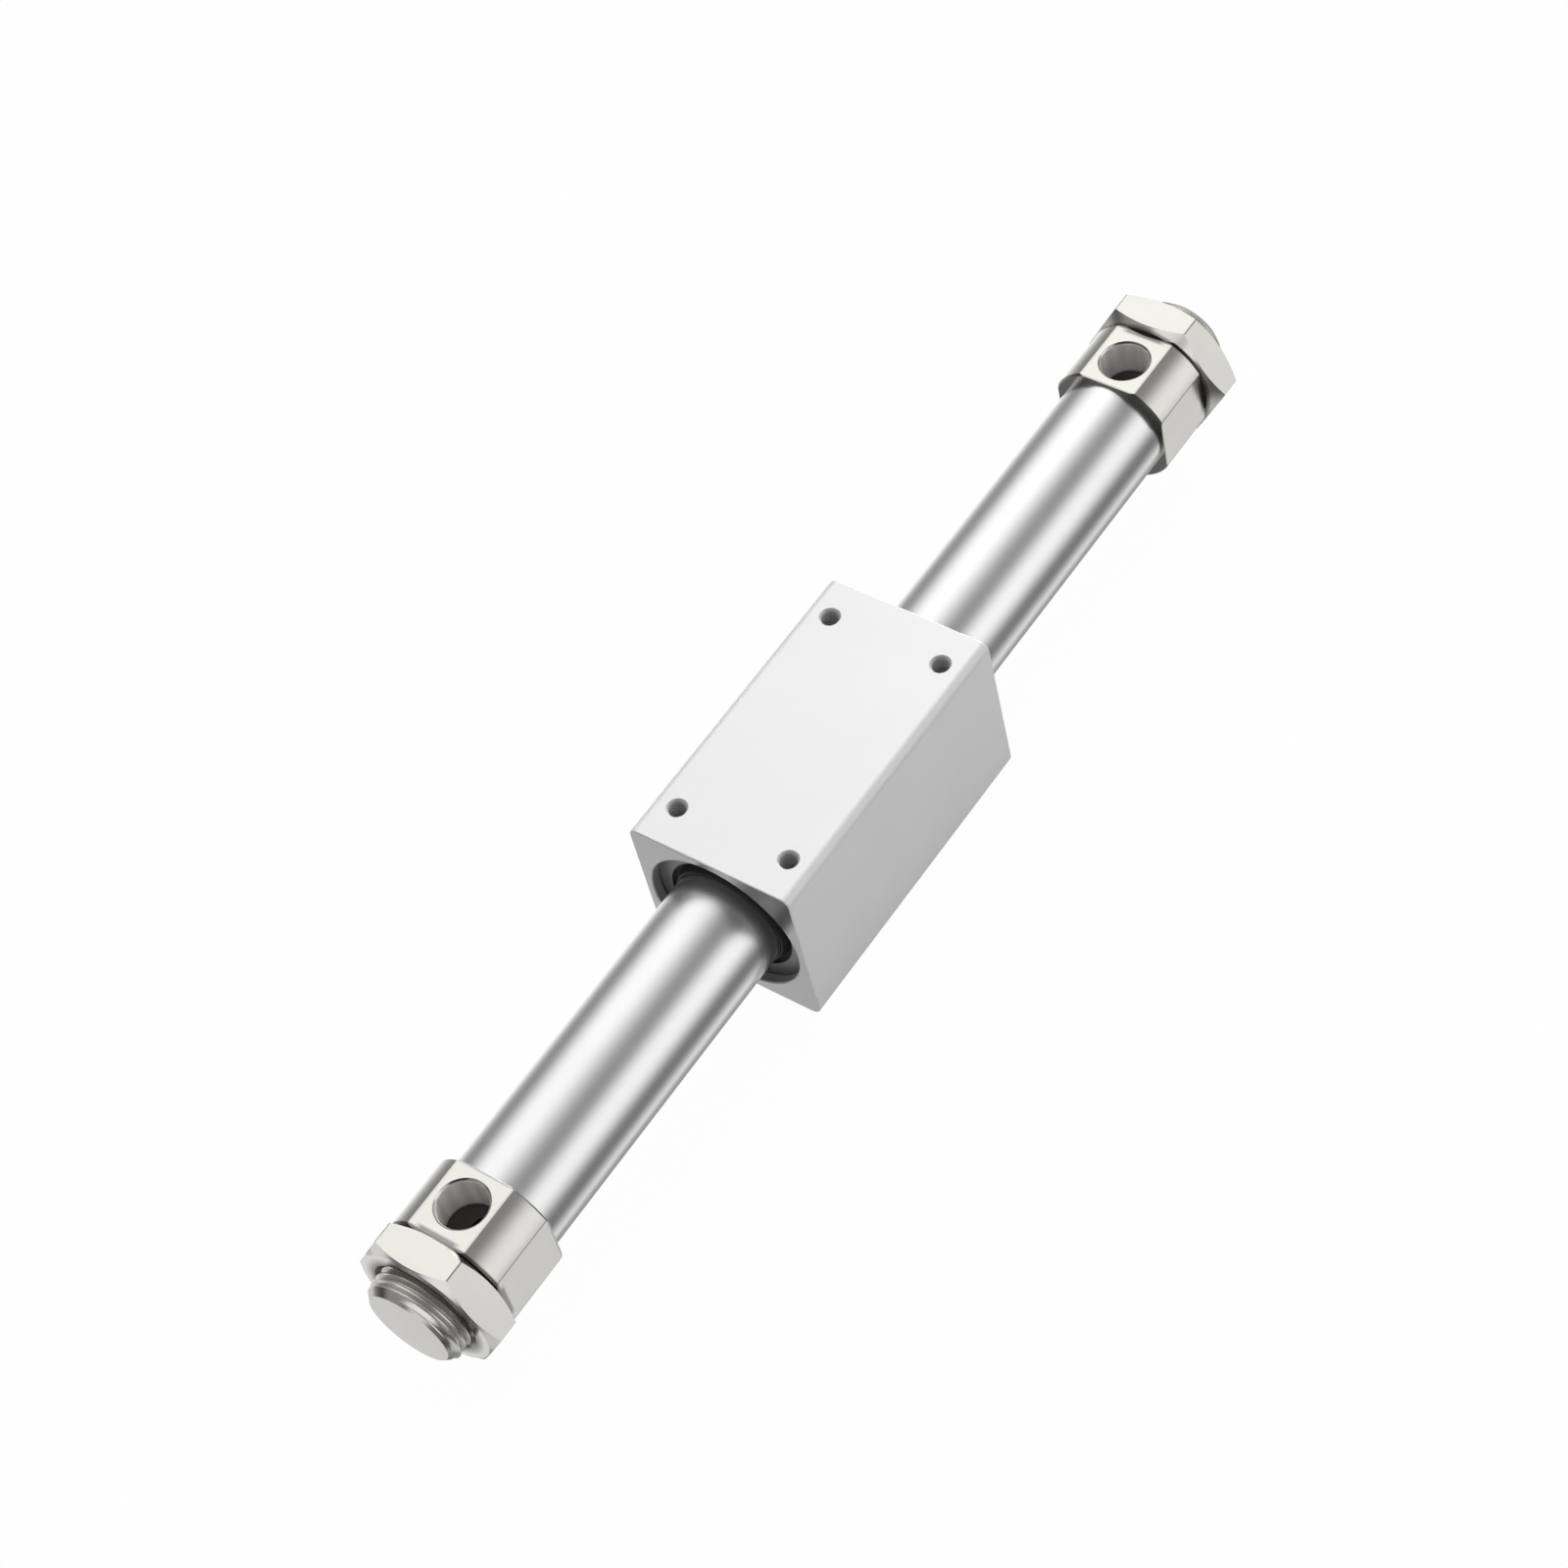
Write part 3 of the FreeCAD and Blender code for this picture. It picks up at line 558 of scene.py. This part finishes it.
def make_tube():
    """A drawn tube with eased ends and the groove of a lock ring inside each end."""
    lock_floor, edge = tube_inside + 0.62, 0.15
    return lathe(
        (
            (-tube_end, tube_inside + edge), (-tube_end + edge, tube_inside),
            (-lock_far, tube_inside), (-lock_far, lock_floor),
            (-lock_near, lock_floor), (-lock_near, tube_inside),
            (lock_near, tube_inside), (lock_near, lock_floor),
            (lock_far, lock_floor), (lock_far, tube_inside),
            (tube_end - edge, tube_inside), (tube_end, tube_inside + edge),
            (tube_end, tube_outside - edge), (tube_end - edge, tube_outside),
            (-tube_end + edge, tube_outside), (-tube_end, tube_outside - edge),
        ),
        steps=256,
    )


THREAD_PITCH = 1.5
THREAD_START = 118.3
THREAD_ROOT = 9.08
THREAD_FLANK = 0.577


def make_cover():
    """A turned cover with four flats, a threaded nose and a port that leads to the air bore."""
    spigot, seat, edge = tube_inside - 0.02, tube_outside + 0.02, 0.4
    air_end, air_radius = 111.5, 2.5
    boss_face, boss_radius, spigot_face = 91.8, 4.0, 93.0
    gasket_near, gasket_far, gasket_floor = 95.1, 96.9, 8.6
    lock_floor = 9.38
    body = lathe(
        (
            (air_end, 0.0), (air_end, air_radius), (boss_face, air_radius), (boss_face, boss_radius),
            (spigot_face, boss_radius), (spigot_face, spigot),
            (gasket_near, spigot), (gasket_near, gasket_floor),
            (gasket_far, gasket_floor), (gasket_far, spigot),
            (lock_near, spigot), (lock_near, lock_floor), (lock_far, lock_floor), (lock_far, spigot),
            (tube_end, spigot), (tube_end, seat), (cover_face, seat),
            (cover_face, cover_rim - edge), (cover_face + edge, cover_rim),
            (cover_shoulder - edge, cover_rim), (cover_shoulder, cover_rim - edge),
            (cover_shoulder, nose_radius), (nose_end - nose_chamfer, nose_radius),
            (nose_end, nose_radius - nose_chamfer), (nose_end, 0.0),
        ),
        closed=False,
    )
    for across in ((0, 1, 0), (0, 0, 1), (0, -1, 0), (0, 0, -1)):
        slice_off(body, Vector(across) * cover_flat, across)
    flat_edges = sharp_edges(
        body, 20,
        lambda middle, e: middle.yz.length > 13 and abs((e.verts[0].co - e.verts[1].co).normalized().x) > 0.9,
    )
    ease(body, flat_edges, 0.1)
    for end in (cover_face, cover_shoulder):
        ends = [
            e for e in body.edges
            if all(
                abs(v.co.x - end) < 0.01 and max(abs(v.co.y), abs(v.co.z)) > cover_flat - 0.01
                for v in e.verts
            )
        ]
        ease(body, ends, edge, segments=1)
    half_mouth, half_root, clear, turns = 0.743, 0.125, nose_radius + 0.15, 8.4
    groove = helix(
        ((-half_mouth, clear), (-half_root, THREAD_ROOT), (half_root, THREAD_ROOT), (half_mouth, clear)),
        THREAD_PITCH, THREAD_START, turns,
    )
    above, port_mouth, mouth_depth, port_floor, port_tip = 0.5, 5.3, 0.45, 3.5, 0.7
    bore = upright(
        lathe(
            (
                (cover_flat + above, 0.0), (cover_flat + above, port_mouth + above), (cover_flat, port_mouth),
                (cover_flat - mouth_depth, port_radius), (port_floor, port_radius), (port_tip, 0.0),
            ),
            steps=96, closed=False,
        ),
        (port_centre, 0, 0),
    )
    return carve(body, groove, bore)


def make_nut():
    """A thin hexagon nut with chamfered faces and corners, and its thread."""
    beyond, face, outer_face, minor, mouth = 16.2, 12.8, 13.7, 9.25, 10.92
    slope = math.tan(math.radians(30))
    body = lathe(
        (
            (cover_shoulder, mouth), (cover_shoulder, face),
            (cover_shoulder + (beyond - face) * slope, beyond),
            (nut_end - (beyond - outer_face) * slope, beyond), (nut_end, outer_face), (nut_end, mouth),
            (nut_end - (mouth - minor), minor), (cover_shoulder + (mouth - minor), minor),
        )
    )
    corner_reach = nut_flat / math.cos(math.radians(30)) - 0.08
    for turn in range(0, 360, 60):
        for angle, reach in ((turn + 30, nut_flat), (turn, corner_reach)):
            across = Vector((0, math.cos(math.radians(angle)), math.sin(math.radians(angle))))
            slice_off(body, across * reach, across)
    # The groove that the nose's ridge runs in, with a little room on both flanks
    crest_half, room, groove_top, groove_bottom, turns = 0.094, 0.035, 9.1, 10.06, 9.0
    groove = helix(
        tuple(
            (side * (crest_half + (nose_radius - r) * THREAD_FLANK + room), r)
            for side, r in ((-1, groove_top), (-1, groove_bottom), (1, groove_bottom), (1, groove_top))
        ),
        THREAD_PITCH, THREAD_START - 2.5 * THREAD_PITCH, turns,
    )
    return carve(body, groove)


def make_block():
    """A square block with eased edges, the carriers' bore with its ring grooves, and four M4 holes."""
    body = bmesh.new()
    bmesh.ops.create_cube(body, size=2.0)
    bmesh.ops.scale(body, vec=(block_half, block_side, block_side), verts=body.verts)
    long_edges = [e for e in body.edges if abs(e.verts[0].co.x - e.verts[1].co.x) > 1]
    ease(body, long_edges, 2.0, segments=12)
    ends = sharp_edges(body, 60, lambda middle, e: abs(middle.x) > block_half - 0.01)
    ease(body, ends, 0.25, segments=3)
    lead, bore_radius = 0.25, 15.47
    mouth, outside = recess_radius + lead, block_half + 1
    bore = lathe(
        (
            (-outside, 0), (-outside, mouth), (-block_half, mouth), (-block_half + lead, recess_radius),
            (-groove_far, recess_radius), (-groove_far, groove_radius),
            (-groove_near, groove_radius), (-groove_near, bore_radius),
            (groove_near, bore_radius), (groove_near, groove_radius),
            (groove_far, groove_radius), (groove_far, recess_radius),
            (block_half - lead, recess_radius), (block_half, mouth), (outside, mouth), (outside, 0),
        ),
        closed=False,
    )
    tools = [bore]
    above, sink, drill_radius, drill_depth = 0.3, 0.5, 1.7, 6
    pitch, thread_depth, turns = 0.7, 5.6, 7.6
    half_mouth, half_root, within, thread_radius = 0.31, 0.05, 1.62, 2.0
    for x in (-hole_along, hole_along):
        for y in (-hole_across, hole_across):
            drill = lathe(
                (
                    (block_side + above, 0), (block_side + above, 2.5),
                    (block_side, drill_radius + sink), (block_side - sink, drill_radius),
                    (block_side - drill_depth, drill_radius), (block_side - drill_depth - 1, 0),
                ),
                steps=64, closed=False,
            )
            thread = helix(
                (
                    (-half_mouth, within), (-half_root, thread_radius),
                    (half_root, thread_radius), (half_mouth, within),
                ),
                pitch, block_side - thread_depth, turns, steps=48,
            )
            tools += [upright(drill, (x, y, 0)), upright(thread, (x, y, 0))]
    return carve(body, *tools)


def make_scraper():
    """A rubber ring with a lip that thins towards the tube."""
    seat_start, seat_end, seat_radius = 26.6, 29.6, 14.18
    contact = tube_outside + 0.04
    return lathe(
        (
            (seat_start, 11.8), (31.5, contact), (31.66, contact + 0.05), (31.7, contact + 0.18),
            (31.62, contact + 0.34), (31.4, contact + 0.46), (29.9, 12.42), (29.66, 12.52), (seat_end, 12.7),
            (seat_end, seat_radius), (seat_start, seat_radius),
        )
    )


add_piece(make_tube(), "tube", "cylinder", finishes["stainless_tube"], "cylinder_tube")
add_piece(make_block(), "block", "slider", finishes["block_aluminium"], "slider_block")
both_ends(make_cover, "cover", "cylinder", finishes["nickel_cover"], "end_cover")
both_ends(make_nut, "nut", "cylinder", finishes["nickel_nut"], "mounting_nut", sharp=20.0)
both_ends(make_scraper, "wiper", "slider", finishes["nitrile_rubber"], "scraper")

# The other solids keep their shape and get the finish of their slot
slot_of = {part["node"]: part["material_slot"] for part in frame["record"]["subparts"]}
for name, node in nodes.items():
    node.data.materials.clear()
    node.data.materials.append(finishes[slot_of[name]])


# White studio: one far room with four strip lights along the tube and dark gaps between them

# First and last degree about X from +Y, and the level of light in that strip
STRIPS = (
    (-153, -142, 0.19), (-113, -111, 0.97),
    (-99, -77, 0.35), (-60, -48, 1.23),
    (0, 7, 0.3), (50, 66, 1.26),
    (120, 125, 0.31), (158, 170, 1.22),
)
# The X of a direction, and the share of the strips' light that is left there
ALONG = (
    (-0.60, 0.12), (-0.54, 0.14), (-0.46, 0.19), (-0.385, 0.24), (-0.33, 0.52), (-0.27, 0.82),
    (-0.20, 0.92), (-0.10, 0.66), (0.15, 0.62), (0.25, 1.0), (0.62, 1.0), (0.75, 0.45),
)
# Direction, level, and the angles in degrees at which each lamp starts to fall off and ends
LAMPS = (
    ((-1.0, 0.0, 0.0), 1.15, 17, 24),
    ((-0.56, 0.71, -0.43), 0.9, 8, 16),
    ((-0.55, 0.0, -0.84), 0.75, 10, 20),
    ((-0.82, 0.53, 0.15), 0.35, 14, 24),
    ((-0.83, -0.48, -0.29), 0.2, 12, 20),
    ((0.88, 0.20, 0.43), 9.2, 12, 18),
)


def make_ramp(tree, value, stops, interpolation):
    """A brightness by place: (position from 0 to 1, level up to 2) stops."""
    ramp = add_node(tree, "ShaderNodeValToRGB", {0: value})
    elements = ramp.color_ramp.elements
    while len(elements) < len(stops):
        elements.new(0.5)
    for element, (position, level) in zip(elements, stops):
        element.position = position
        element.color = (level / 2, level / 2, level / 2, 1)
    ramp.color_ramp.interpolation = interpolation
    return maths(tree, "MULTIPLY", ramp.outputs[0], 2.0)


def make_world():
    """Strip lights about the tube and a few lamps, behind a white that only the camera sees."""
    world = bpy.data.worlds.new("studio")
    scene.world = world
    world.use_nodes = True
    tree = world.node_tree
    tree.nodes.clear()
    direction = add_node(tree, "ShaderNodeTexCoord").outputs["Generated"]
    x, y, z = add_node(tree, "ShaderNodeSeparateXYZ", {0: direction}).outputs
    # The way round starts at the first strip and closes on it
    first, _, first_level = STRIPS[0]
    around = maths(tree, "DIVIDE", maths(tree, "ARCTAN2", z, y), math.tau)
    around = maths(tree, "FRACT", maths(tree, "SUBTRACT", around, first / 360))
    stops = [((angle - first) / 360, level) for start, end, level in STRIPS for angle in (start, end)]
    strips = make_ramp(tree, around, stops + [(1.0, first_level)], "EASE")
    along = maths(tree, "ADD", times(tree, x, 0.5), 0.5)
    fall = make_ramp(tree, along, [(position / 2 + 0.5, share) for position, share in ALONG], "LINEAR")
    # The room is darkest towards the left-hand end of the tube on the near side, but for its lamps
    near_left = times(tree, rise(tree, y, -0.55, -0.75), rise(tree, x, -0.15, -0.3))
    level = times(tree, strips, fall, maths(tree, "SUBTRACT", 1.0, times(tree, near_left, 0.75)))
    for place, strength, full, end in LAMPS:
        towards = add_node(
            tree, "ShaderNodeVectorMath", {0: direction, 1: Vector(place).normalized()},
            operation="DOT_PRODUCT",
        ).outputs["Value"]
        lamp = add_node(
            tree, "ShaderNodeMapRange",
            {
                "Value": towards, "From Min": math.cos(math.radians(end)),
                "From Max": math.cos(math.radians(full)), "To Max": strength,
            },
        ).outputs[0]
        level = most(tree, level, lamp)
    light = add_node(tree, "ShaderNodeBackground", {"Color": (1, 1, 1, 1), "Strength": level})
    white = add_node(tree, "ShaderNodeBackground", {"Color": (1, 1, 1, 1), "Strength": 1.0})
    seen = add_node(tree, "ShaderNodeLightPath").outputs["Is Camera Ray"]
    mix = add_node(tree, "ShaderNodeMixShader", {0: seen, 1: light.outputs[0], 2: white.outputs[0]})
    output = add_node(tree, "ShaderNodeOutputWorld")
    tree.links.new(mix.outputs[0], output.inputs["Surface"])


def make_floor():
    """A floor that the camera sees white and that no surface mirrors."""
    bm = bmesh.new()
    bmesh.ops.create_grid(bm, x_segments=1, y_segments=1, size=2.0)
    bmesh.ops.translate(bm, vec=(0, 0, -block_side * MM), verts=bm.verts)
    floor = as_object(bm, "floor")
    material = bpy.data.materials.new("floor_white")
    material.use_nodes = True
    tree = material.node_tree
    tree.nodes.clear()
    paint = add_node(tree, "ShaderNodeBsdfDiffuse", {"Color": (0.9, 0.9, 0.9, 1)})
    glow = add_node(tree, "ShaderNodeEmission", {"Color": (1, 1, 1, 1), "Strength": 1.0})
    seen = add_node(tree, "ShaderNodeLightPath").outputs["Is Camera Ray"]
    share = times(tree, seen, 0.98)
    mix = add_node(tree, "ShaderNodeMixShader", {0: share, 1: paint.outputs[0], 2: glow.outputs[0]})
    output = add_node(tree, "ShaderNodeOutputMaterial")
    tree.links.new(mix.outputs[0], output.inputs["Surface"])
    floor.data.materials.append(material)
    floor.visible_glossy = False


# The camera's place in millimetres, its turn in degrees about X, Y and Z, and its lens
CAMERA_PLACE = (-303.56, -320.01, 563.89)
CAMERA_TURN = (37.246, 9.849, -55.27)
CAMERA_LENS, CAMERA_SENSOR = 87.98, 36.0


def make_camera():
    """The camera at the place that the photo's corners and holes lead to."""
    camera = bpy.data.cameras.new("camera")
    camera.lens, camera.sensor_width = CAMERA_LENS, CAMERA_SENSOR
    camera.clip_start, camera.clip_end = 0.05, 10.0
    obj = bpy.data.objects.new("camera", camera)
    scene.collection.objects.link(obj)
    turn = Euler([math.radians(angle) for angle in CAMERA_TURN])
    obj.matrix_world = Matrix.LocRotScale(Vector(CAMERA_PLACE) * MM, turn, None)
    scene.camera = obj


make_world()
make_floor()
make_camera()
scene.view_settings.view_transform = "Standard"
